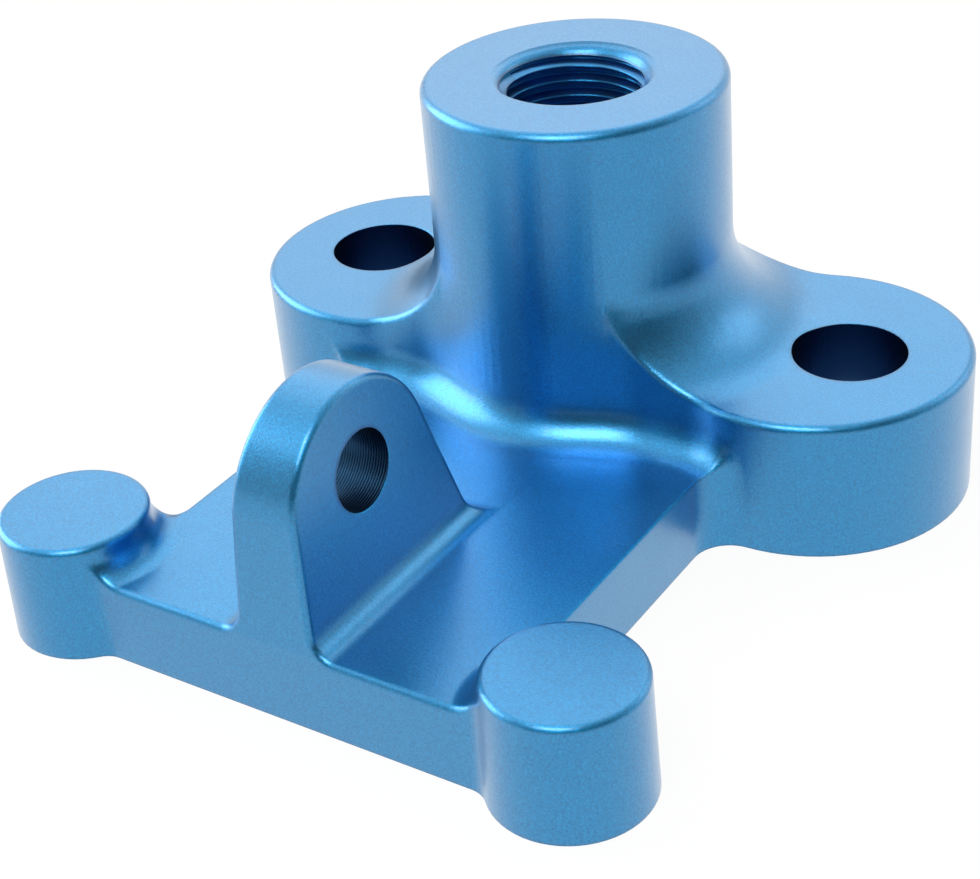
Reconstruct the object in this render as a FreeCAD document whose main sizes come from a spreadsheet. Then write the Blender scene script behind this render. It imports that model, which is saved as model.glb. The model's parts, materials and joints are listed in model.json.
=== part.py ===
"""Machined aluminium mounting bracket, one solid.

A round boss with a tapped hole stands between two drilled ears.  A flat web runs
forward from them to a pair of short posts, with an upright drilled lug between them.

Frame: the origin is where the boss axis meets the mounting face, X runs through
the ears, the web and the lug point along -Y, and Z goes up the boss.
"""
import FreeCAD, Part
import math
import os

import Sketcher

NODE = "bracket"

# sketch references: the sketch's own origin, and the points of a curve
ORIGIN = (-1, 1)
START = 1
END = 2
CENTRE = 3

# how near two lengths must be to count as the same
NEAR = 0.01

# rule for a point on an axis of its sketch
ON_AXIS = "0 mm"

# a tapped hole's minor diameter is the nominal one less this many pitches
THREAD_DEPTH = 1.0825

SIZES = {
    # boss and its tapped hole
    "boss_diameter": (24.0, "outside diameter of the boss"),
    "boss_height": (32.2, "mounting face to the top of the boss"),
    "boss_flare": (3.0, "concave fillet where the boss rises from the web"),
    "flare_sweep": (150.0, "how far round the front of the boss the flare runs, degrees"),
    "boss_edge": (0.7, "round on the top edge of the boss"),
    "thread_diameter": (12.0, "nominal diameter of the tapped hole"),
    "thread_pitch": (1.25, "pitch of the tapped hole"),
    "bore_depth": (24.0, "depth of the tapped hole to the end of its full bore"),
    "drill_angle": (118.0, "point angle of the tapping drill"),
    "countersink_rim": (0.45, "how far the countersink reaches past the thread"),
    "countersink_angle": (90.0, "included angle of the countersink"),
    # ears
    "ear_span": (38.6, "distance between the centres of the two round ear ends"),
    "ear_radius": (12.4, "radius of the round ear ends"),
    "ear_setback": (2.2, "how far the ears sit behind the boss axis"),
    "ear_height": (11.5, "mounting face to the flat top of the ears"),
    "ear_edge": (0.6, "round on the top edges of the ears and shoulders"),
    "ear_hole_span": (44.4, "distance between the two ear holes"),
    "ear_hole_setback": (2.4, "how far the ear holes sit behind the boss axis"),
    "ear_hole_diameter": (9.0, "clearance hole for an M8 screw"),
    # neck between the ears, and the shoulders that sweep up the boss
    "neck_half_depth": (11.6, "half the depth of the neck at the mounting face"),
    "neck_blend": (8.0, "concave radius from the neck walls round to the ears"),
    "neck_spare": (1.0, "how far the neck stock stands above the shoulders"),
    "shoulder_radius": (7.4, "concave radius from the ear tops up the boss"),
    # web
    "web_width": (33.0, "width of the web"),
    "web_height": (6.6, "thickness of the web"),
    "web_reach": (43.4, "boss axis to the front face"),
    "web_fillet": (3.0, "concave fillet where the web meets the neck"),
    # posts
    "post_diameter": (11.9, "diameter of the posts at the mounting face"),
    "post_height": (9.5, "height of the posts"),
    "post_draft": (1.5, "draft of the posts, degrees"),
    "post_span": (42.6, "distance between the posts"),
    "post_inset": (3.6, "front face back to the post axes"),
    "post_edge": (0.5, "round on the top edge of the posts"),
    "post_fillet": (2.0, "concave fillet from the posts to the bar and the web"),
    # lug
    "lug_thickness": (7.5, "thickness of the lug, carried down to the mounting face"),
    "lug_draft": (3.4, "draft of the two lug cheeks, degrees"),
    "lug_radius": (7.9, "radius of the rounded lug top"),
    "lug_inset": (8.6, "front face back to the centre of the rounded lug top"),
    "lug_centre_height": (15.5, "height of the centre of the rounded top"),
    "lug_length": (20.0, "front face back to the heel of the lug where it leaves the web"),
    "lug_hole_diameter": (6.0, "cross hole of the lug"),
    "lug_hole_height": (16.8, "height of the cross hole"),
    "lug_fillet": (1.8, "concave fillet from the lug to the web"),
    "lug_edge": (0.5, "round on the edges of the lug"),
}


def fill_sheet(doc):
    """Write the driving dimensions to a spreadsheet, one aliased cell each."""
    sheet = doc.addObject("Spreadsheet::Sheet", "Sizes")
    for row, (alias, (value, note)) in enumerate(SIZES.items(), start=1):
        sheet.set(f"A{row}", alias)
        sheet.set(f"B{row}", str(value))
        sheet.set(f"C{row}", note)
        sheet.setAlias(f"B{row}", alias)
    doc.recompute()


def check(doc):
    """Recompute, and stop at the first object that failed."""
    doc.recompute()
    for item in doc.Objects:
        if "Invalid" in item.State or "Error" in item.State:
            raise RuntimeError(f"{item.Name} did not recompute: {item.State}")


def new_sketch(body, name, role):
    """Empty sketch on one of the body's own origin planes."""
    plane = next(item for item in body.Origin.OriginFeatures if item.Role == role)
    sketch = body.newObject("Sketcher::SketchObject", name)
    sketch.AttachmentSupport = [(plane, "")]
    sketch.MapMode = "FlatFace"
    return sketch


def value(sketch, rule):
    """Number that a rule of the sheet gives now, to start the geometry from."""
    return float(sketch.evalExpression(rule))


def point(sketch, across, up):
    """Sketch point at two rules of the sheet."""
    return FreeCAD.Vector(value(sketch, across), value(sketch, up), 0)


def bind(sketch, kind, where, rule):
    """Add a dimension to the sketch and drive it from the sheet."""
    constraint = Sketcher.Constraint(kind, *where, value(sketch, rule))
    index = sketch.addConstraint(constraint)
    sketch.setExpression(f"Constraints[{index}]", rule)


def place(sketch, where, across, up):
    """Drive a sketch point's distances from the sketch origin."""
    bind(sketch, "DistanceX", (*ORIGIN, *where), across)
    bind(sketch, "DistanceY", (*ORIGIN, *where), up)


def add_circle(sketch, radius, across, up):
    """Circle whose radius and centre are driven from the sheet."""
    centre = point(sketch, across, up)
    circle = Part.Circle(centre, FreeCAD.Vector(0, 0, 1), value(sketch, radius))
    index = sketch.addGeometry(circle, False)
    bind(sketch, "Radius", (index,), radius)
    place(sketch, (index, CENTRE), across, up)


def add_polygon(sketch, corners):
    """Closed run of straight lines through corners driven from the sheet."""
    at = [point(sketch, *corner) for corner in corners]
    count = len(at)
    for index in range(count):
        line = Part.LineSegment(at[index], at[(index + 1) % count])
        sketch.addGeometry(line, False)
    for index in range(count):
        joint = (index, END, (index + 1) % count, START)
        sketch.addConstraint(Sketcher.Constraint("Coincident", *joint))
        place(sketch, (index, START), *corners[index])


def add_feature(body, kind, name, **settings):
    """Add a feature, set its properties, and drive those given as rules."""
    feature = body.newObject(kind, name)
    for prop, setting in settings.items():
        if isinstance(setting, str) and "Sizes." in setting:
            feature.setExpression(prop, setting)
        else:
            setattr(feature, prop, setting)
    check(body.Document)
    return feature


def cut(body, kind, name, **settings):
    """Add a feature that has to take material away."""
    before = body.Tip.Shape.Volume
    feature = add_feature(body, kind, name, **settings)
    if feature.Shape.Volume >= before:
        raise RuntimeError(f"{name} cuts nothing")
    return feature


def round_edges(body, name, radius, *tests):
    """Fillet the edges of the body that each test in turn picks out."""
    base = body.Tip
    edges = list(enumerate(base.Shape.Edges, start=1))
    names = [f"Edge{number}" for wanted in tests for number, edge in edges if wanted(edge)]
    if not names:
        raise RuntimeError(f"{name} finds no edge")
    return add_feature(body, "PartDesign::Fillet", name, Base=(base, names), Radius=radius)


def neck_section(body, name, half_depth):
    """Waisted outline: two round ears joined by two straight walls and four blends."""
    sketch = new_sketch(body, name, "XY_Plane")
    offset = value(sketch, "Sizes.ear_span / 2")
    ear = value(sketch, "Sizes.ear_radius")
    blend = value(sketch, "Sizes.neck_blend")
    setback = value(sketch, "Sizes.ear_setback")
    depth = value(sketch, half_depth)
    reach = math.sqrt((ear + blend) ** 2 - (depth + blend) ** 2)
    turn = math.atan2(depth + blend, reach)
    normal = FreeCAD.Vector(0, 0, 1)

    def add_arc(across, up, radius, start, end):
        circle = Part.Circle(FreeCAD.Vector(across, up, 0), normal, radius)
        return sketch.addGeometry(Part.ArcOfCircle(circle, start, end), False)

    def add_line(side):
        ends = [FreeCAD.Vector(sign * side * (offset - reach), setback + side * depth, 0)
                for sign in (1, -1)]
        return sketch.addGeometry(Part.LineSegment(*ends), False)

    quarter = math.pi / 2
    up_side = setback + depth + blend
    down_side = setback - depth - blend
    right = add_arc(offset, setback, ear, turn - math.pi, math.pi - turn)
    right_back = add_arc(offset - reach, up_side, blend, -quarter, -turn)
    back = add_line(1)
    left_back = add_arc(reach - offset, up_side, blend, turn - math.pi, -quarter)
    left = add_arc(-offset, setback, ear, turn, -turn)
    left_front = add_arc(reach - offset, down_side, blend, quarter, math.pi - turn)
    front = add_line(-1)
    right_front = add_arc(offset - reach, down_side, blend, turn, quarter)
    joints = (
        (right, END, right_back, END), (right_back, START, back, START),
        (back, END, left_back, END), (left_back, START, left, START),
        (left, END, left_front, END), (left_front, START, front, START),
        (front, END, right_front, END), (right_front, START, right, START),
    )
    for joint in joints:
        sketch.addConstraint(Sketcher.Constraint("Tangent", *joint))
    for wall in (back, front):
        sketch.addConstraint(Sketcher.Constraint("Horizontal", wall))
    for other in (left_back, left_front, right_front):
        sketch.addConstraint(Sketcher.Constraint("Equal", right_back, other))
    sketch.addConstraint(Sketcher.Constraint("Equal", right, left))
    bind(sketch, "Radius", (right,), "Sizes.ear_radius")
    bind(sketch, "Radius", (right_back,), "Sizes.neck_blend")
    place(sketch, (right, CENTRE), "Sizes.ear_span / 2", "Sizes.ear_setback")
    place(sketch, (left, CENTRE), "-Sizes.ear_span / 2", "Sizes.ear_setback")
    bind(sketch, "DistanceY", (right, CENTRE, back, START), half_depth)
    bind(sketch, "DistanceY", (front, START, right, CENTRE), half_depth)
    return sketch


def add_neck(body):
    """Stock for the ears and the neck between them, up to the top of the shoulders."""
    sketch = neck_section(body, "NeckOutline", "Sizes.neck_half_depth")
    add_feature(body, "PartDesign::Pad", "Neck", Profile=sketch,
                Length="Sizes.ear_height + Sizes.shoulder_radius + Sizes.neck_spare")


def add_boss(body):
    """Round boss on the origin, with a flare on its front where it rises from the web."""
    outline = new_sketch(body, "BossOutline", "XY_Plane")
    radius = "Sizes.boss_diameter / 2"
    add_circle(outline, radius, ON_AXIS, ON_AXIS)
    add_feature(body, "PartDesign::Pad", "Boss", Profile=outline, Length="Sizes.boss_height")
    sketch = new_sketch(body, "FlareOutline", "YZ_Plane")
    skirt = f"-{radius} - Sizes.boss_flare"
    rise = "Sizes.web_height + Sizes.boss_flare"
    flare = Part.Circle(point(sketch, skirt, rise), FreeCAD.Vector(0, 0, 1),
                        value(sketch, "Sizes.boss_flare"))
    sketch.addGeometry(Part.ArcOfCircle(flare, 1.5 * math.pi, 2 * math.pi), False)
    corners = [
        point(sketch, f"-{radius}", rise),
        point(sketch, ON_AXIS, rise),
        point(sketch, ON_AXIS, ON_AXIS),
        point(sketch, skirt, ON_AXIS),
        point(sketch, skirt, "Sizes.web_height"),
    ]
    for here, there in zip(corners, corners[1:]):
        sketch.addGeometry(Part.LineSegment(here, there), False)
    arc, top, axis, base, foot = range(5)
    for here, there in ((top, axis), (axis, base), (base, foot)):
        sketch.addConstraint(Sketcher.Constraint("Coincident", here, END, there, START))
    sketch.addConstraint(Sketcher.Constraint("Coincident", arc, END, top, START))
    sketch.addConstraint(Sketcher.Constraint("Coincident", arc, START, foot, END))
    for flat in (top, base):
        sketch.addConstraint(Sketcher.Constraint("Horizontal", flat))
    sketch.addConstraint(Sketcher.Constraint("Vertical", foot))
    sketch.addConstraint(Sketcher.Constraint("Vertical", arc, CENTRE, foot, END))
    sketch.addConstraint(Sketcher.Constraint("Horizontal", arc, CENTRE, top, START))
    sketch.addConstraint(Sketcher.Constraint("Coincident", base, START, *ORIGIN))
    sketch.addConstraint(Sketcher.Constraint("Vertical", axis))
    bind(sketch, "Radius", (arc,), "Sizes.boss_flare")
    place(sketch, (top, START), f"-{radius}", rise)
    add_feature(body, "PartDesign::Revolution", "BossFlare", Profile=sketch,
                ReferenceAxis=(sketch, ["V_Axis"]), Angle="Sizes.flare_sweep", Midplane=True)


def cut_shoulders(body):
    """Turn the neck down to the ear tops, leaving a concave sweep up the boss."""
    sketch = new_sketch(body, "ShoulderOutline", "XZ_Plane")
    radius = "Sizes.boss_diameter / 2"
    rise = "Sizes.ear_height + Sizes.shoulder_radius"
    run = f"{radius} + Sizes.shoulder_radius"
    centre = point(sketch, run, rise)
    sweep = Part.Circle(centre, FreeCAD.Vector(0, 0, 1), value(sketch, "Sizes.shoulder_radius"))
    sketch.addGeometry(Part.ArcOfCircle(sweep, math.pi, 1.5 * math.pi), False)
    reach = "Sizes.ear_span / 2 + 2 * Sizes.ear_radius"
    corners = [
        point(sketch, run, "Sizes.ear_height"),
        point(sketch, reach, "Sizes.ear_height"),
        point(sketch, reach, "Sizes.boss_height"),
        point(sketch, radius, "Sizes.boss_height"),
        point(sketch, radius, rise),
    ]
    for here, there in zip(corners, corners[1:]):
        sketch.addGeometry(Part.LineSegment(here, there), False)
    arc, floor, outside, roof, wall = range(5)
    sketch.addConstraint(Sketcher.Constraint("Tangent", arc, END, floor, START))
    sketch.addConstraint(Sketcher.Constraint("Tangent", wall, END, arc, START))
    for here, there in ((floor, outside), (outside, roof), (roof, wall)):
        sketch.addConstraint(Sketcher.Constraint("Coincident", here, END, there, START))
    for flat in (floor, roof):
        sketch.addConstraint(Sketcher.Constraint("Horizontal", flat))
    for upright in (outside, wall):
        sketch.addConstraint(Sketcher.Constraint("Vertical", upright))
    bind(sketch, "Radius", (arc,), "Sizes.shoulder_radius")
    place(sketch, (floor, END), reach, "Sizes.ear_height")
    place(sketch, (wall, START), radius, "Sizes.boss_height")
    cut(body, "PartDesign::Groove", "Shoulders", Profile=sketch,
        ReferenceAxis=(sketch, ["V_Axis"]), Angle=360)


def middle(edge):
    """Point half way along an edge."""
    return edge.valueAt((edge.FirstParameter + edge.LastParameter) / 2)


def round_rims(body):
    """Round the outer edges of the ear tops and of the shoulders."""
    flat = SIZES["ear_height"][0]
    rise = flat + SIZES["shoulder_radius"][0]
    stock = rise + SIZES["neck_spare"][0]
    run = SIZES["boss_diameter"][0] / 2 + SIZES["shoulder_radius"][0]

    def on_rim(edge):
        at = middle(edge)
        flat_seam = abs(at.z - flat) < NEAR and abs(math.hypot(at.x, at.y) - run) < NEAR
        level = min(abs(at.z - rise), abs(at.z - stock)) < NEAR
        sweep_seam = abs(at.y) < NEAR and edge.BoundBox.ZLength > NEAR
        return edge.BoundBox.ZMin > flat - NEAR and not (flat_seam or level or sweep_seam)

    round_edges(body, "RimRounds", "Sizes.ear_edge", on_rim)


def add_web(body):
    """Web from the neck to the front face, and the bar that carries the posts."""
    half = "Sizes.web_width / 2"
    web = new_sketch(body, "WebOutline", "XY_Plane")
    add_polygon(web, (
        (f"-{half}", "-Sizes.web_reach"), (half, "-Sizes.web_reach"),
        (half, ON_AXIS), (f"-{half}", ON_AXIS),
    ))
    add_feature(body, "PartDesign::Pad", "Web", Profile=web, Length="Sizes.web_height")
    end = "Sizes.post_span / 2"
    axis = "Sizes.post_inset - Sizes.web_reach"
    bar = new_sketch(body, "BarOutline", "XY_Plane")
    add_polygon(bar, (
        (f"-{end}", "-Sizes.web_reach"), (end, "-Sizes.web_reach"),
        (end, axis), (f"-{end}", axis),
    ))
    add_feature(body, "PartDesign::Pad", "Bar", Profile=bar, Length="Sizes.web_height")


def blend_web(body):
    """Fillet the web into the neck, over its floor and up its two sides."""
    half = SIZES["web_width"][0] / 2
    floor = SIZES["web_height"][0]
    bar = -SIZES["web_reach"][0] + SIZES["post_inset"][0]

    def near_neck(at):
        return bar / 2 < at.y < -NEAR

    def on_floor(edge):
        at = middle(edge)
        return near_neck(at) and abs(at.z - floor) < NEAR and abs(at.x) < half - NEAR

    def up_side(edge):
        at = middle(edge)
        tall = edge.BoundBox.ZLength > floor / 2
        return near_neck(at) and abs(abs(at.x) - half) < NEAR and tall

    round_edges(body, "WebFillets", "Sizes.web_fillet", on_floor, up_side)


def add_posts(body):
    """Round posts at the two ends of the bar, a little taller than it."""
    sketch = new_sketch(body, "PostOutline", "XY_Plane")
    for sign in ("", "-"):
        add_circle(sketch, "Sizes.post_diameter / 2", f"{sign}Sizes.post_span / 2",
                   "Sizes.post_inset - Sizes.web_reach")
    add_feature(body, "PartDesign::Pad", "Posts", Profile=sketch,
                Length="Sizes.post_height", TaperAngle="-Sizes.post_draft")


def blend_posts(body):
    """Fillet the posts into the bar, the web top and the web sides."""
    floor = SIZES["web_height"][0]
    axis = SIZES["post_inset"][0] - SIZES["web_reach"][0]
    reach = SIZES["post_span"][0] / 2
    radius = SIZES["post_diameter"][0] / 2

    def by_post(edge):
        at = middle(edge)
        near = math.hypot(abs(at.x) - reach, at.y - axis) < radius + NEAR
        return near and abs(at.x) < reach - radius / 2

    def on_top(edge):
        return by_post(edge) and abs(middle(edge).z - floor) < NEAR

    def upright(edge):
        box = edge.BoundBox
        return by_post(edge) and box.ZLength > floor - NEAR and box.ZMax < floor + NEAR

    round_edges(body, "PostFillets", "Sizes.post_fillet", on_top, upright)


def add_lug(body):
    """Upright lug with a round top, a sloping back and cheeks that draw in."""
    sketch = new_sketch(body, "LugOutline", "YZ_Plane")
    axis = "Sizes.lug_inset - Sizes.web_reach"
    end_of_heel = "Sizes.lug_length - Sizes.web_reach"
    centre = point(sketch, axis, "Sizes.lug_centre_height")
    radius = value(sketch, "Sizes.lug_radius")
    toe = point(sketch, "-Sizes.web_reach", "Sizes.web_height")
    heel = point(sketch, end_of_heel, "Sizes.web_height")

    def touch(foot, side):
        """Angle at which a line from a foot touches the round top."""
        away = foot - centre
        return math.atan2(away.y, away.x) + side * math.acos(radius / away.Length)

    start = touch(heel, 1)
    end = touch(toe, -1) + 2 * math.pi
    round_top = Part.Circle(centre, FreeCAD.Vector(0, 0, 1), radius)
    arc = Part.ArcOfCircle(round_top, start, end)
    sketch.addGeometry(arc, False)
    sketch.addGeometry(Part.LineSegment(arc.EndPoint, toe), False)
    sketch.addGeometry(Part.LineSegment(toe, heel), False)
    sketch.addGeometry(Part.LineSegment(heel, arc.StartPoint), False)
    top, front, foot, back = range(4)
    sketch.addConstraint(Sketcher.Constraint("Tangent", top, END, front, START))
    sketch.addConstraint(Sketcher.Constraint("Tangent", back, END, top, START))
    sketch.addConstraint(Sketcher.Constraint("Coincident", front, END, foot, START))
    sketch.addConstraint(Sketcher.Constraint("Coincident", foot, END, back, START))
    bind(sketch, "Radius", (top,), "Sizes.lug_radius")
    place(sketch, (top, CENTRE), axis, "Sizes.lug_centre_height")
    place(sketch, (foot, START), "-Sizes.web_reach", "Sizes.web_height")
    place(sketch, (foot, END), end_of_heel, "Sizes.web_height")
    add_feature(body, "PartDesign::Pad", "Lug", Profile=sketch, Midplane=True,
                Length="Sizes.lug_thickness")


def draft_lug(body):
    """Lean the two cheeks of the lug in towards its top."""
    base = body.Tip
    top = SIZES["web_height"][0]
    half = SIZES["lug_thickness"][0] / 2
    cheeks = []
    for number, face in enumerate(base.Shape.Faces, start=1):
        box = face.BoundBox
        if box.ZMin > top - NEAR and box.XLength < NEAR and abs(abs(box.XMin) - half) < NEAR:
            cheeks.append(f"Face{number}")
    plane = next(item for item in body.Origin.OriginFeatures if item.Role == "XY_Plane")
    add_feature(body, "PartDesign::Draft", "LugDraft", Base=(base, cheeks),
                NeutralPlane=(plane, [""]), Angle="Sizes.lug_draft", Reversed=False)


def blend_lug(body):
    """Fillet the lug into the web along both cheeks and its back, then round its rim."""
    floor = SIZES["web_height"][0]
    half = SIZES["lug_thickness"][0] / 2
    toe = -SIZES["web_reach"][0]
    heel = toe + SIZES["lug_length"][0]
    crown = SIZES["lug_centre_height"][0] + SIZES["lug_radius"][0]

    def along_cheek(edge):
        at = middle(edge)
        low = abs(at.z - floor) < NEAR
        return low and half / 2 < abs(at.x) < half + NEAR and toe + NEAR < at.y < heel

    def along_heel(edge):
        at = middle(edge)
        return abs(at.z - floor) < NEAR and abs(at.x) < NEAR and abs(at.y - heel) < NEAR

    def over_crown(edge):
        return abs(edge.BoundBox.ZMax - crown) < NEAR and abs(middle(edge).x) > NEAR

    round_edges(body, "LugFillets", "Sizes.lug_fillet", along_cheek, along_heel)
    round_edges(body, "LugRounds", "Sizes.lug_edge", over_crown)


def drill_holes(body):
    """Ear holes, and the cross hole of the lug."""
    ears = new_sketch(body, "EarHoles", "XY_Plane")
    for sign in ("", "-"):
        add_circle(ears, "Sizes.ear_hole_diameter / 2", f"{sign}Sizes.ear_hole_span / 2",
                   "Sizes.ear_hole_setback")
    cut(body, "PartDesign::Pocket", "EarHolePocket", Profile=ears, Type="ThroughAll",
        Midplane=True)
    lug = new_sketch(body, "LugHole", "YZ_Plane")
    add_circle(lug, "Sizes.lug_hole_diameter / 2", "Sizes.lug_inset - Sizes.web_reach",
               "Sizes.lug_hole_height")
    cut(body, "PartDesign::Pocket", "LugHolePocket", Profile=lug,
        Length="Sizes.web_width", Midplane=True)


def tap_boss(body):
    """Blind tapped hole in the boss: minor diameter, drill point and countersink."""
    sketch = new_sketch(body, "TapOutline", "XZ_Plane")
    radius = f"(Sizes.thread_diameter - {THREAD_DEPTH} * Sizes.thread_pitch) / 2"
    rim = "Sizes.thread_diameter / 2 + Sizes.countersink_rim"
    floor = "Sizes.boss_height - Sizes.bore_depth"
    sink = f"Sizes.boss_height - ({rim} - {radius}) / tan(Sizes.countersink_angle / 2)"
    tip = f"{floor} - {radius} / tan(Sizes.drill_angle / 2)"
    add_polygon(sketch, (
        (ON_AXIS, tip), (radius, floor), (radius, sink), (rim, "Sizes.boss_height"),
        (ON_AXIS, "Sizes.boss_height"),
    ))
    cut(body, "PartDesign::Groove", "Tap", Profile=sketch,
        ReferenceAxis=(sketch, ["V_Axis"]), Angle=360)


def round_tops(body):
    """Round the top edges of the boss and of the posts."""
    boss_top = SIZES["boss_height"][0]
    boss_radius = SIZES["boss_diameter"][0] / 2
    post_top = SIZES["post_height"][0]

    def boss_edge(edge):
        at = middle(edge)
        on_rim = abs(math.hypot(at.x, at.y) - boss_radius) < NEAR
        return abs(at.z - boss_top) < NEAR and on_rim

    def post_edge(edge):
        return abs(middle(edge).z - post_top) < NEAR and edge.BoundBox.ZLength < NEAR

    round_edges(body, "BossRound", "Sizes.boss_edge", boss_edge)
    round_edges(body, "PostRounds", "Sizes.post_edge", post_edge)


def main():
    doc = FreeCAD.newDocument("MountingBracket")
    fill_sheet(doc)
    body = doc.addObject("PartDesign::Body", "Bracket")
    body.Label = NODE
    steps = (
        add_neck, add_web, blend_web, cut_shoulders, round_rims, add_boss,
        add_posts, blend_posts, add_lug, draft_lug, blend_lug, drill_holes,
        tap_boss, round_tops,
    )
    for step in steps:
        step(body)
    check(doc)
    body.Placement = FreeCAD.Placement()
    shape = body.Shape
    if shape.isNull() or not shape.isValid() or len(shape.Solids) != 1:
        raise RuntimeError(f"{NODE} is not one valid solid")
    os.makedirs("parts", exist_ok=True)
    shape.exportStep(f"parts/{NODE}.step")


if __name__ == "__main__":
    main()
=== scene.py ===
"""Looks of the machined mounting bracket: blue anodising, its tapped hole and its bores.

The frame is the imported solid.  The bracket's skin is a merged copy of it, with its sharp
web edges eased and a real thread cut into the boss.  Everything is in metres.
"""

import json
import math

import bmesh
import bpy
from mathutils import Matrix, Vector


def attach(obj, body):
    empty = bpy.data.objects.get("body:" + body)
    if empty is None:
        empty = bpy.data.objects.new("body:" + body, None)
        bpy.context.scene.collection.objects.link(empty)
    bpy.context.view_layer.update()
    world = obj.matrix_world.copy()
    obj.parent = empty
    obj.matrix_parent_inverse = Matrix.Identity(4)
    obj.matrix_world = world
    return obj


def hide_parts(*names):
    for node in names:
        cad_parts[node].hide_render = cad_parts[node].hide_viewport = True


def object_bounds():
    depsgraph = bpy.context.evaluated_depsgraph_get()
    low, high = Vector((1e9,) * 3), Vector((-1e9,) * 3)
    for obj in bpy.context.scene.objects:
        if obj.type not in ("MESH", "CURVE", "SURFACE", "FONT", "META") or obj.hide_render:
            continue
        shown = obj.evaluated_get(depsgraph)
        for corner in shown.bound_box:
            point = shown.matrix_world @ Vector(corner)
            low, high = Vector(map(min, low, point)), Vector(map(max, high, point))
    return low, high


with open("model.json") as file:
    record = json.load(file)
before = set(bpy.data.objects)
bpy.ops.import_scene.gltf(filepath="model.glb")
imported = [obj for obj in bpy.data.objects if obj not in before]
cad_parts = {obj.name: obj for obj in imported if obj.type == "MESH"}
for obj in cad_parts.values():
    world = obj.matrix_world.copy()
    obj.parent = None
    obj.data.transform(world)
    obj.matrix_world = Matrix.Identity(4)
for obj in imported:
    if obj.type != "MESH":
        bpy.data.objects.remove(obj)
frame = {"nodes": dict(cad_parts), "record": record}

bl_info = {
    "name": "Anodised mounting bracket",
    "version": (1, 0, 0),
    "blender": (4, 5, 0),
    "location": "View3D > Sidebar > Bracket",
    "description": "Builds the anodised skin, the thread and the stage of a machined bracket",
    "category": "Add Mesh",
}

MM = 0.001
NODE = "bracket"
# material slots of the skin
BLASTED, TAPPED, DRILLED, RINGED = range(4)
# how near two heights must be to count as the same, and a face's middle to a bore's wall
NEAR = 0.01 * MM
WALL_SLACK = 0.05 * MM
# the tapped hole lies within this radius, and its countersink within this depth of the top
MOUTH_RADIUS = 6.6 * MM
SINK_DEPTH = 1.2 * MM
# the web's free top edges lie in front of this line, and turn by more than this angle
WEB_START = -12 * MM
SHARP_EDGE = math.radians(60)
# part of the neck that the blend may reach: half width, front and back
BLEND_HALF, BLEND_FRONT, BLEND_BACK = 14 * MM, -19 * MM, -4 * MM
# strips across each side of the blend, and levels above the web a millimetre apart
STRIPS = range(8, 32)
LEVELS = range(3, 13)
# soft boxes: name, place, size in metres and power in watts
LAMPS = (
    ("soft_box_top", (-0.20, 0.32, 0.42), 0.50, 0.55),
    ("soft_box_left", (-0.45, -0.10, 0.20), 0.40, 1.6),
    ("soft_box_right", (0.28, 0.38, 0.27), 0.25, 0.2),
    ("soft_box_over", (0.06, -0.27, 0.42), 0.25, 1.3),
)
# point that the soft boxes face
LIT_CENTRE = Vector((0, -0.015, 0.015))
CAD_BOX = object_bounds()
MOUNTS = {mount["name"]: mount for mount in frame["record"]["mounts"]}


def mount_place(name):
    """Point of a mount, in metres."""
    return Vector(MOUNTS[name]["pos_m"])


def mount_size(name, key):
    """One dimension of a mount, in metres."""
    return MOUNTS[name]["dims"][key] * MM


# ---------------------------------------------------------------- small helpers

def linear(hex_colour):
    """Linear RGBA of an sRGB hex colour."""
    channels = [int(hex_colour[i:i + 2], 16) / 255 for i in (1, 3, 5)]
    curve = [c / 12.92 if c <= 0.04045 else ((c + 0.055) / 1.055) ** 2.4 for c in channels]
    return (*curve, 1.0)


def add_node(tree, kind, settings=None, links=None):
    """Add a shader node, set its properties or sockets, and link its inputs."""
    node = tree.nodes.new(kind)
    for key, setting in (settings or {}).items():
        if isinstance(key, str) and hasattr(node, key):
            setattr(node, key, setting)
        else:
            node.inputs[key].default_value = setting
    for key, source in (links or {}).items():
        tree.links.new(source, node.inputs[key])
    return node


def new_material(name):
    """Empty node material with its output, and the Object coordinates."""
    material = bpy.data.materials.new(name)
    material.use_nodes = True
    tree = material.node_tree
    tree.nodes.clear()
    output = add_node(tree, "ShaderNodeOutputMaterial")
    place = add_node(tree, "ShaderNodeTexCoord").outputs["Object"]
    return material, tree, output, place


def new_piece(name, mesh):
    """Object for a mesh, in the scene's collection."""
    piece = bpy.data.objects.new(name, mesh)
    bpy.context.scene.collection.objects.link(piece)
    return piece


# ------------------------------------------------------------------- materials

def grain(tree, place, size, detail=2.0):
    """Noise whose lumps are about the given size across."""
    return add_node(tree, "ShaderNodeTexNoise",
                    {"Scale": 1 / size, "Detail": detail, "Roughness": 0.6},
                    {"Vector": place}).outputs["Fac"]


def spread(tree, source, low, high):
    """Spread a noise's middle range between two values."""
    return add_node(tree, "ShaderNodeMapRange",
                    {"From Min": 0.3, "From Max": 0.7, "To Min": low, "To Max": high},
                    {"Value": source}).outputs["Result"]


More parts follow.
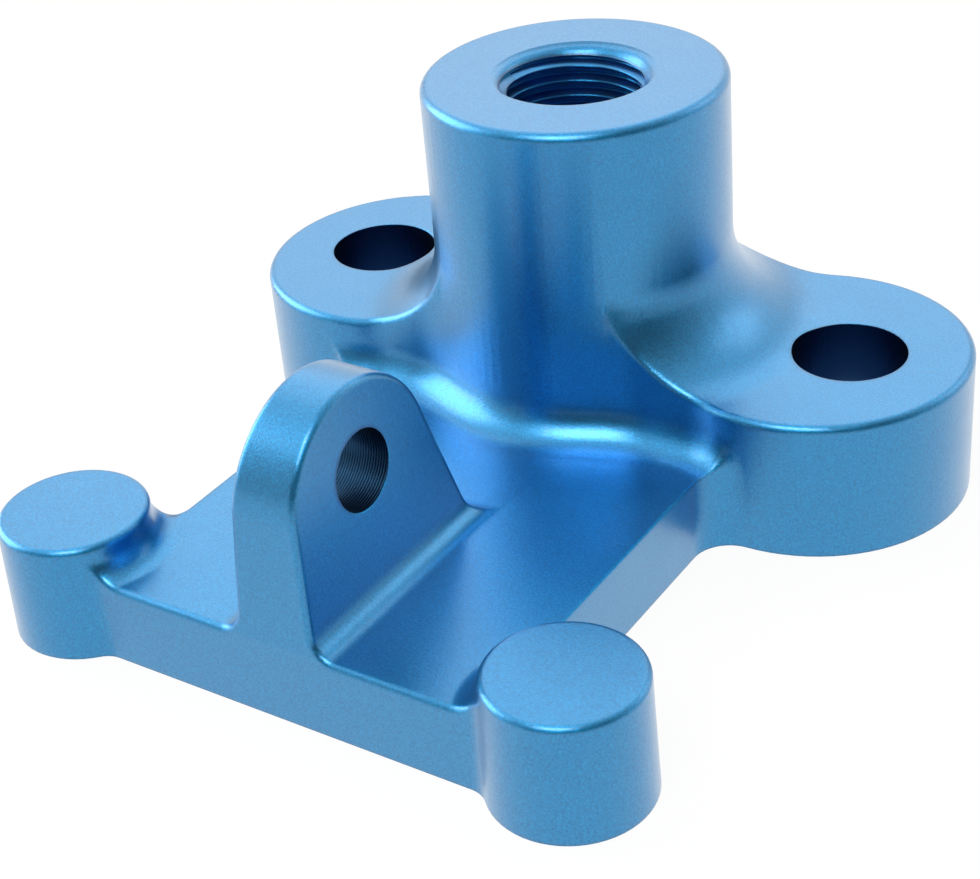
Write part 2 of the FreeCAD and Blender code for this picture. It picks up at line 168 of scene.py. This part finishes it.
def anodised_blasted(settings):
    """Blue anodised aluminium over bead blasting: satin, with a fine even sparkle."""
    material, tree, output, place = new_material("blue_anodised_bead_blasted_aluminium")
    fine = grain(tree, place, settings.grain_size)
    cloud = grain(tree, place, settings.cloud_size)
    # blasting rounds every edge a little
    rounded = add_node(tree, "ShaderNodeBevel", {"Radius": settings.blast_round})
    # the blasted pits tilt the surface a little, which breaks up every reflection
    bump = add_node(tree, "ShaderNodeBump",
                    {"Strength": settings.grain_strength, "Distance": settings.grain_size / 2},
                    {"Height": fine, "Normal": rounded.outputs["Normal"]})
    # each pit holds a little more or less dye
    light = add_node(tree, "ShaderNodeMix",
                     {"data_type": "RGBA", 6: linear(settings.dye_dark),
                      7: linear(settings.dye_light)},
                     {0: spread(tree, fine, 0.0, 1.0)})
    shader = add_node(tree, "ShaderNodeBsdfPrincipled",
                      {"Metallic": 1.0, "Coat Weight": settings.oxide_sheen,
                       "Coat Roughness": 0.27, "Coat IOR": 1.6},
                      {"Base Color": light.outputs[2], "Normal": bump.outputs["Normal"],
                       "Roughness": spread(tree, cloud, settings.roughness - 0.03,
                                           settings.roughness + 0.03)})
    tree.links.new(shader.outputs["BSDF"], output.inputs["Surface"])
    return material


def anodised_cut(settings, name, colour):
    """Blue anodised aluminium over a tapped or drilled cut, a little glossier."""
    material, tree, output, place = new_material(name)
    fine = grain(tree, place, settings.grain_size)
    # the crests of the thread are broken a little too
    rounded = add_node(tree, "ShaderNodeBevel", {"Radius": settings.blast_round / 3})
    bump = add_node(tree, "ShaderNodeBump", {"Strength": 0.1, "Distance": 0.02 * MM},
                    {"Height": fine, "Normal": rounded.outputs["Normal"]})
    shader = add_node(tree, "ShaderNodeBsdfPrincipled",
                      {"Base Color": linear(colour), "Metallic": 1.0,
                       "Coat Weight": settings.oxide_sheen, "Coat Roughness": 0.25},
                      {"Normal": bump.outputs["Normal"],
                       "Roughness": spread(tree, fine, 0.20, 0.26)})
    tree.links.new(shader.outputs["BSDF"], output.inputs["Surface"])
    return material


def drilled_bore(settings):
    """Drilled and reamed aluminium with fine rings round the hole, thinly dyed and darkened as
    painted shade for the inside of the lug hole.
    """
    material, tree, output, place = new_material("drilled_aluminium_with_tool_rings_and_painted_shade")
    rings = add_node(tree, "ShaderNodeTexWave",
                     {"wave_type": "BANDS", "bands_direction": "X",
                      "Scale": 1 / settings.ring_pitch / 3.2, "Distortion": 1.2,
                      "Detail": 3.0, "Detail Scale": 2.0},
                     {"Vector": place}).outputs["Fac"]
    bump = add_node(tree, "ShaderNodeBump", {"Strength": 0.2, "Distance": 0.02 * MM},
                    {"Height": rings})
    # the rings' two blues: real tool rings, both darkened as painted shade inside the lug hole
    tint = add_node(tree, "ShaderNodeMix",
                    {"data_type": "RGBA", 6: linear(settings.ring_groove_with_painted_shade),
                     7: linear(settings.ring_crest_with_painted_shade)}, {0: rings})
    shader = add_node(tree, "ShaderNodeBsdfPrincipled", {"Metallic": 1.0},
                      {"Base Color": tint.outputs[2], "Normal": bump.outputs["Normal"],
                       "Roughness": spread(tree, rings, 0.25, 0.4)})
    tree.links.new(shader.outputs["BSDF"], output.inputs["Surface"])
    return material


# --------------------------------------------------------------------- the skin

def merged_copy(node):
    """Bmesh copy of a CAD node, with its loose triangles joined and its flats made whole."""
    shape = bmesh.new()
    shape.from_mesh(node.data)
    bmesh.ops.remove_doubles(shape, verts=shape.verts[:], dist=0.002 * MM)
    bmesh.ops.dissolve_limit(shape, angle_limit=math.radians(0.1), verts=shape.verts[:],
                             edges=shape.edges[:])
    bmesh.ops.recalc_face_normals(shape, faces=shape.faces[:])
    return shape


def thread_cutter(settings):
    """Helical ridge that cuts the turns of the thread, from the bore's foot to its mouth."""
    place = mount_place("boss_thread")
    minor = mount_size("boss_thread", "r_mm")
    length = mount_size("boss_thread", "length_mm")
    pitch = settings.thread_pitch
    major = settings.thread_diameter / 2
    # metric profile: flanks at 30 degrees, and a root flat of an eighth of the pitch
    slope = math.tan(math.radians(30))
    root = pitch / 16
    # the ridge starts inside the bore, so that its flanks cross the wall cleanly
    inner = minor - pitch / 10
    mouth = root + (major - inner) * slope
    start = place.z - length / 2 + pitch
    turns = math.ceil((CAD_BOX[1][2] + pitch - start) / pitch)
    steps = settings.thread_steps
    shape = bmesh.new()
    corners = ((inner, -mouth), (major, -root), (major, root), (inner, mouth))
    section = shape.faces.new([shape.verts.new((place.x + out, place.y, start + up))
                               for out, up in corners])
    bmesh.ops.spin(shape, geom=[section, *section.edges, *section.verts],
                   cent=place, axis=(0, 0, 1), dvec=(0, 0, pitch / steps),
                   angle=turns * math.tau, steps=turns * steps)
    bmesh.ops.recalc_face_normals(shape, faces=shape.faces[:])
    mesh = bpy.data.meshes.new("thread_cutter")
    shape.to_mesh(mesh)
    shape.free()
    return new_piece("thread_cutter", mesh)


def cut_away(piece, cutter):
    """Take a cutter out of a piece for good."""
    modifier = piece.modifiers.new("cut", "BOOLEAN")
    modifier.operation = "DIFFERENCE"
    modifier.solver = "EXACT"
    modifier.object = cutter
    depsgraph = bpy.context.evaluated_depsgraph_get()
    mesh = bpy.data.meshes.new_from_object(piece.evaluated_get(depsgraph))
    piece.modifiers.clear()
    piece.data = mesh
    bpy.data.objects.remove(cutter)
    if not mesh.polygons:
        raise RuntimeError(f"nothing is left of {piece.name}")


def choose_finish(point, normal):
    """Material index of a face."""
    boss = mount_place("boss_thread")
    out = math.hypot(point.x - boss.x, point.y - boss.y)
    top = CAD_BOX[1][2]
    countersunk = point.z > top - SINK_DEPTH and normal.z > 0.5
    # the tapped bore takes the paler thread blue, which is partly painted light
    if out < MOUTH_RADIUS and point.z < top - NEAR and not countersunk:
        return TAPPED
    ears = mount_place("ear_holes")
    half = mount_size("ear_holes", "spacing_x_mm") / 2
    reach = mount_size("ear_holes", "hole_r_mm") + WALL_SLACK
    # the walls of the ear holes take the darker drilled blue, painted shade
    if math.hypot(abs(point.x - ears.x) - half, point.y - ears.y) < reach:
        return DRILLED if abs(normal.z) < 0.5 else BLASTED
    # the wall of the lug hole takes the dark ringed blues, partly painted shade
    lug = mount_place("lug_hole")
    reach = mount_size("lug_hole", "r_mm") + WALL_SLACK
    if math.hypot(point.y - lug.y, point.z - lug.z) < reach and abs(normal.x) < 0.5:
        return RINGED
    return BLASTED


def ease_web(shape, settings):
    """Round over the straight top edges of the web."""
    picked = []
    for edge in shape.edges:
        a, b = (vert.co for vert in edge.verts)
        middle = (a + b) / 2
        level = abs(a.z - b.z) < NEAR and abs(middle.z - settings.web_height) < 2 * NEAR
        if not level or len(edge.link_faces) != 2 or not edge.is_convex:
            continue
        if edge.calc_face_angle() > SHARP_EDGE and middle.y < WEB_START:
            picked.append(edge)
    if not picked:
        raise RuntimeError("the web has no top edge to ease")
    bmesh.ops.bevel(shape, geom=picked, offset=settings.edge_round, segments=4,
                    profile=0.5, affect="EDGES", material=-1, clamp_overlap=True)


def fade(value, start, end):
    """Smooth fall from 1 at the start to 0 at the end."""
    share = min(max((value - start) / (end - start), 0.0), 1.0)
    return 1 - share * share * (3 - 2 * share)


def wall_distance(x, y, blend, settings):
    """Plan distance in front of the boss and the neck wall, blended where they meet."""
    from_wall = -settings.wall_setback - y
    from_boss = math.hypot(x, y) - settings.boss_radius
    nearest = min(from_wall, from_boss)
    share = max(1 - abs(from_wall - from_boss) / settings.blend_reach, 0.0)
    return nearest - blend * share * share * settings.blend_reach / 4


def soften_neck(shape, settings):
    """Blend the boss into the front wall of the neck, down to the web and up to the rims."""
    def near(point):
        return (abs(point.x) < BLEND_HALF and BLEND_FRONT < point.y < BLEND_BACK
                and settings.web_height - NEAR < point.z < settings.blend_top)

    cuts = [(Vector((side * step * settings.blend_step, 0, 0)), Vector((1, 0, 0)))
            for side in (-1, 1) for step in STRIPS]
    cuts += [(Vector((0, 0, settings.web_height + step * MM)), Vector((0, 0, 1)))
             for step in LEVELS]
    for place, normal in cuts:
        faces = [face for face in shape.faces if any(near(vert.co) for vert in face.verts)]
        # a dict keeps each element once, in the order of the faces
        edges = dict.fromkeys(edge for face in faces for edge in face.edges)
        verts = dict.fromkeys(vert for face in faces for vert in face.verts)
        bmesh.ops.bisect_plane(shape, geom=[*verts, *edges, *faces], dist=NEAR / 10,
                               plane_co=place, plane_no=normal)
    for vert in shape.verts:
        x, y, z = vert.co
        start = wall_distance(x, y, 0.0, settings)
        blend = fade(z, settings.blend_top - settings.blend_fade, settings.blend_top)
        blend *= fade(start, settings.web_fillet, 2 * settings.web_fillet)
        if not near(vert.co) or blend == 0.0:
            continue
        # a few steps up the slope bring the vertex to its old distance from the blend
        for _ in range(3):
            here = wall_distance(x, y, blend, settings)
            slope = Vector((wall_distance(x + NEAR, y, blend, settings) - here,
                            wall_distance(x, y + NEAR, blend, settings) - here)) / NEAR
            step = (start - here) / slope.length_squared
            x, y = x + slope.x * step, y + slope.y * step
        vert.co = x, y, z


class BracketSettings(bpy.types.PropertyGroup):
    """Sizes and colours of the bracket's skin."""
    thread_diameter: bpy.props.FloatProperty(
        name="Thread diameter", description="Outside diameter of the boss thread",
        default=12.0 * MM, unit="LENGTH")
    thread_pitch: bpy.props.FloatProperty(
        name="Thread pitch", description="Rise of the thread in one turn",
        default=1.25 * MM, unit="LENGTH")
    thread_steps: bpy.props.IntProperty(
        name="Thread steps", description="Steps in one turn of the thread", default=120)
    edge_round: bpy.props.FloatProperty(
        name="Edge round", description="Round on the straight top edges of the web",
        default=0.6 * MM, unit="LENGTH")
    boss_radius: bpy.props.FloatProperty(
        name="Boss radius", description="Outside radius of the boss",
        default=12.0 * MM, unit="LENGTH")
    wall_setback: bpy.props.FloatProperty(
        name="Wall setback", description="Boss axis to the front wall of the neck",
        default=9.4 * MM, unit="LENGTH")
    web_height: bpy.props.FloatProperty(
        name="Web height", description="Height of the web's top",
        default=6.6 * MM, unit="LENGTH")
    web_fillet: bpy.props.FloatProperty(
        name="Web fillet", description="Fillet where the web meets the neck",
        default=3.0 * MM, unit="LENGTH")
    blend_reach: bpy.props.FloatProperty(
        name="Blend reach", description="Depth over which the boss blends into the wall",
        default=2.2 * MM, unit="LENGTH")
    blend_top: bpy.props.FloatProperty(
        name="Blend top", description="Height at which the blend has run out",
        default=19.5 * MM, unit="LENGTH")
    blend_fade: bpy.props.FloatProperty(
        name="Blend fade", description="Height over which the blend runs out",
        default=4.5 * MM, unit="LENGTH")
    blend_step: bpy.props.FloatProperty(
        name="Blend step", description="Width of the strips that carry the blend",
        default=0.4 * MM, unit="LENGTH")
    grain_size: bpy.props.FloatProperty(
        name="Grain size", description="Width of the pits that blasting leaves",
        default=0.16 * MM, unit="LENGTH")
    blast_round: bpy.props.FloatProperty(
        name="Blast round", description="Radius to which blasting rounds the edges",
        default=0.45 * MM, unit="LENGTH")
    cloud_size: bpy.props.FloatProperty(
        name="Cloud size", description="Width of the faint patches in the sheen",
        default=4.0 * MM, unit="LENGTH")
    grain_strength: bpy.props.FloatProperty(
        name="Grain strength", description="How strongly the pits tilt the surface",
        default=0.25, min=0.0, max=1.0)
    roughness: bpy.props.FloatProperty(
        name="Roughness", description="Roughness of the blasted skin",
        default=0.34, min=0.0, max=1.0)
    oxide_sheen: bpy.props.FloatProperty(
        name="Oxide sheen", description="Weight of the clear sealed oxide over the dye",
        default=1.0, min=0.0, max=1.0)
    ring_pitch: bpy.props.FloatProperty(
        name="Ring pitch", description="Spacing of the drill's rings in the lug hole",
        default=0.22 * MM, unit="LENGTH")
    dye_dark: bpy.props.StringProperty(
        name="Dye, deep", description="Blue in the pits", default="#0474AA")
    dye_light: bpy.props.StringProperty(
        name="Dye, light", description="Blue on the crests", default="#1292CC")
    # paler than the skin's dye: the blue of the anodising, lightened as painted light on the
    # deep turns of the thread
    tapped_colour_with_painted_light: bpy.props.StringProperty(
        name="Tapped dye with painted light", description="Blue on the turns of the thread",
        default="#2E8ECB")
    # darker than the skin's dye: painted shade inside the ear holes
    drilled_colour_with_painted_shade: bpy.props.StringProperty(
        name="Drilled dye with painted shade", description="Blue on the walls of the ear holes",
        default="#08507F")
    # both ring blues are far darker than the skin's dye: painted shade inside the lug hole over
    # the real rings
    ring_groove_with_painted_shade: bpy.props.StringProperty(
        name="Ring groove with painted shade", description="Grooves of the drill's rings", default="#122C46")
    ring_crest_with_painted_shade: bpy.props.StringProperty(
        name="Ring crest with painted shade", description="Crests of the drill's rings", default="#2E5475")


class StageSettings(bpy.types.PropertyGroup):
    """Place of the camera, and the floor's paper."""
    camera_target: bpy.props.FloatVectorProperty(
        name="Camera target", description="Point that the camera faces",
        default=(9.876 * MM, -29.508 * MM, 18.216 * MM), subtype="TRANSLATION")
    camera_distance: bpy.props.FloatProperty(
        name="Camera distance", description="Camera to its target",
        default=140.148 * MM, unit="LENGTH")
    camera_turn: bpy.props.FloatProperty(
        name="Camera turn", description="Turn of the camera from the front to the right",
        default=math.radians(35.264), subtype="ANGLE")
    camera_tilt: bpy.props.FloatProperty(
        name="Camera tilt", description="Height of the camera over the horizon",
        default=math.radians(31.803), subtype="ANGLE")
    camera_roll: bpy.props.FloatProperty(
        name="Camera roll", description="Roll of the camera about its line of sight",
        default=math.radians(-5.166), subtype="ANGLE")
    camera_lens: bpy.props.FloatProperty(
        name="Camera lens", description="Focal length in millimetres on a 36 mm sensor",
        default=75.4516)
    floor_colour: bpy.props.StringProperty(
        name="Floor", description="Colour of the floor's paper", default="#F2F2F2")
    floor_white: bpy.props.FloatProperty(
        name="Floor white", description="Share of the floor that shows as plain white",
        default=0.93, min=0.0, max=1.0)


class BRACKET_OT_skin(bpy.types.Operator):
    """Build the bracket's anodised skin with its eased web and cut thread"""
    bl_idname = "bracket.skin"
    bl_label = "Bracket skin"

    def execute(self, context):
        settings = context.scene.bracket_settings
        shape = merged_copy(frame["nodes"][NODE])
        ease_web(shape, settings)
        soften_neck(shape, settings)
        mesh = bpy.data.meshes.new("bracket_skin")
        shape.to_mesh(mesh)
        shape.free()
        piece = new_piece("bracket_skin", mesh)
        cut_away(piece, thread_cutter(settings))
        mesh = piece.data
        mesh.materials.clear()
        for material in (anodised_blasted(settings),
                         # the thread takes a paler copy of the cut finish, painted light on its
                         # deep turns
                         anodised_cut(settings, "blue_anodised_tapped_aluminium_with_painted_light",
                                      settings.tapped_colour_with_painted_light),
                         # the ear holes' walls take a darker copy of the cut finish, painted
                         # shade inside the holes
                         anodised_cut(settings, "blue_anodised_drilled_aluminium_with_painted_shade",
                                      settings.drilled_colour_with_painted_shade),
                         drilled_bore(settings)):
            mesh.materials.append(material)
        for face in mesh.polygons:
            face.material_index = choose_finish(face.center, face.normal)
        mesh.shade_smooth()
        mesh.set_sharp_from_angle(angle=math.radians(32))
        for face in mesh.polygons:
            if face.material_index == TAPPED:
                face.use_smooth = False
        weighted = piece.modifiers.new("even_normals", "WEIGHTED_NORMAL")
        weighted.keep_sharp = True
        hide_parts(NODE)
        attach(piece, "root")
        return {"FINISHED"}


# -------------------------------------------------------------------- the stage

def look_at(place, target, roll=0.0):
    """Matrix at a place, facing a target, rolled about the line of sight."""
    back = (place - target).normalized()
    right = Vector((0, 0, 1)).cross(back).normalized()
    up = back.cross(right)
    turn = Matrix((right, up, back)).transposed().to_4x4()
    return Matrix.Translation(place) @ turn @ Matrix.Rotation(roll, 4, "Z")


def add_camera(settings):
    """Camera from the front right, a little above the part."""
    data = bpy.data.cameras.new("camera")
    data.sensor_width = 36
    data.lens = settings.camera_lens
    data.clip_start = 10 * MM
    data.dof.use_dof = False
    camera = new_piece("camera", data)
    turn, tilt = settings.camera_turn, settings.camera_tilt
    away = Vector((math.sin(turn) * math.cos(tilt), -math.cos(turn) * math.cos(tilt),
                   math.sin(tilt)))
    target = Vector(settings.camera_target)
    camera.matrix_world = look_at(target + away * settings.camera_distance, target,
                                  settings.camera_roll)
    bpy.context.scene.camera = camera


def add_lamp(name, place, size, power):
    """Square soft box that faces the part."""
    data = bpy.data.lights.new(name, "AREA")
    data.shape = "SQUARE"
    data.size = size
    data.energy = power
    new_piece(name, data).matrix_world = look_at(Vector(place), LIT_CENTRE)


def add_floor(settings):
    """Wide pale floor under the part, white to the eye, that keeps its soft shadow."""
    shape = bmesh.new()
    bmesh.ops.create_grid(shape, x_segments=1, y_segments=1, size=2.0)
    mesh = bpy.data.meshes.new("floor")
    shape.to_mesh(mesh)
    shape.free()
    floor = new_piece("floor", mesh)
    material, tree, output, _ = new_material("pale_matte_paper")
    rays = add_node(tree, "ShaderNodeLightPath")
    seen = add_node(tree, "ShaderNodeMath", {"operation": "MAXIMUM"},
                    {0: rays.outputs["Is Camera Ray"], 1: rays.outputs["Is Glossy Ray"]})
    share = add_node(tree, "ShaderNodeMath", {"operation": "MULTIPLY", 1: settings.floor_white},
                     {0: seen.outputs[0]})
    paper = add_node(tree, "ShaderNodeBsdfDiffuse", {"Color": linear(settings.floor_colour)})
    white = add_node(tree, "ShaderNodeEmission", {"Strength": 1.0})
    mix = add_node(tree, "ShaderNodeMixShader", None,
                   {0: share.outputs[0], 1: paper.outputs[0], 2: white.outputs[0]})
    tree.links.new(mix.outputs[0], output.inputs["Surface"])
    mesh.materials.append(material)


def light_world():
    """White surroundings that fall off towards the dark room in front of the part."""
    world = bpy.data.worlds.new("studio")
    world.use_nodes = True
    bpy.context.scene.world = world
    tree = world.node_tree
    tree.nodes.clear()
    output = add_node(tree, "ShaderNodeOutputWorld")
    rays = add_node(tree, "ShaderNodeLightPath")
    direction = add_node(tree, "ShaderNodeTexCoord").outputs["Generated"]
    front = add_node(tree, "ShaderNodeVectorMath", {"operation": "DOT_PRODUCT",
                                                    1: (0.62, -0.76, 0.05)},
                     {0: direction})
    fall = add_node(tree, "ShaderNodeMapRange",
                    {"interpolation_type": "SMOOTHSTEP", "From Min": -0.3, "From Max": 0.9,
                     "To Min": 0.95, "To Max": 0.12}, {"Value": front.outputs["Value"]})
    strength = add_node(tree, "ShaderNodeMix", {"data_type": "FLOAT", 3: 1.0},
                        {0: rays.outputs["Is Camera Ray"], 2: fall.outputs["Result"]})
    light = add_node(tree, "ShaderNodeBackground", {"Color": (1, 1, 1, 1)},
                     {"Strength": strength.outputs[0]})
    tree.links.new(light.outputs[0], output.inputs["Surface"])


class BRACKET_OT_stage(bpy.types.Operator):
    """Set up the camera, the soft boxes and the pale floor"""
    bl_idname = "bracket.stage"
    bl_label = "Stage"

    def execute(self, context):
        settings = context.scene.stage_settings
        add_camera(settings)
        add_floor(settings)
        for lamp in LAMPS:
            add_lamp(*lamp)
        light_world()
        bpy.context.scene.view_settings.view_transform = "Standard"
        return {"FINISHED"}


class BRACKET_PT_panel(bpy.types.Panel):
    """Buttons for the bracket's pieces, with their sizes and colours"""
    bl_idname = "BRACKET_PT_panel"
    bl_label = "Bracket"
    bl_space_type = "VIEW_3D"
    bl_region_type = "UI"
    bl_category = "Bracket"

    def draw(self, context):
        scene = context.scene
        for settings in (scene.bracket_settings, scene.stage_settings):
            for key in type(settings).__annotations__:
                self.layout.prop(settings, key)
        for operator in (BRACKET_OT_skin, BRACKET_OT_stage):
            self.layout.operator(operator.bl_idname)


CLASSES = (BracketSettings, StageSettings, BRACKET_OT_skin, BRACKET_OT_stage, BRACKET_PT_panel)


def register():
    """Register the classes and the settings."""
    for cls in CLASSES:
        bpy.utils.register_class(cls)
    bpy.types.Scene.bracket_settings = bpy.props.PointerProperty(type=BracketSettings)
    bpy.types.Scene.stage_settings = bpy.props.PointerProperty(type=StageSettings)


def unregister():
    """Remove the settings and the classes."""
    del bpy.types.Scene.stage_settings
    del bpy.types.Scene.bracket_settings
    for cls in reversed(CLASSES):
        bpy.utils.unregister_class(cls)


def main():
    """Build every piece and the stage."""
    register()
    bpy.ops.bracket.skin()
    bpy.ops.bracket.stage()


if __name__ == "__main__":
    main()
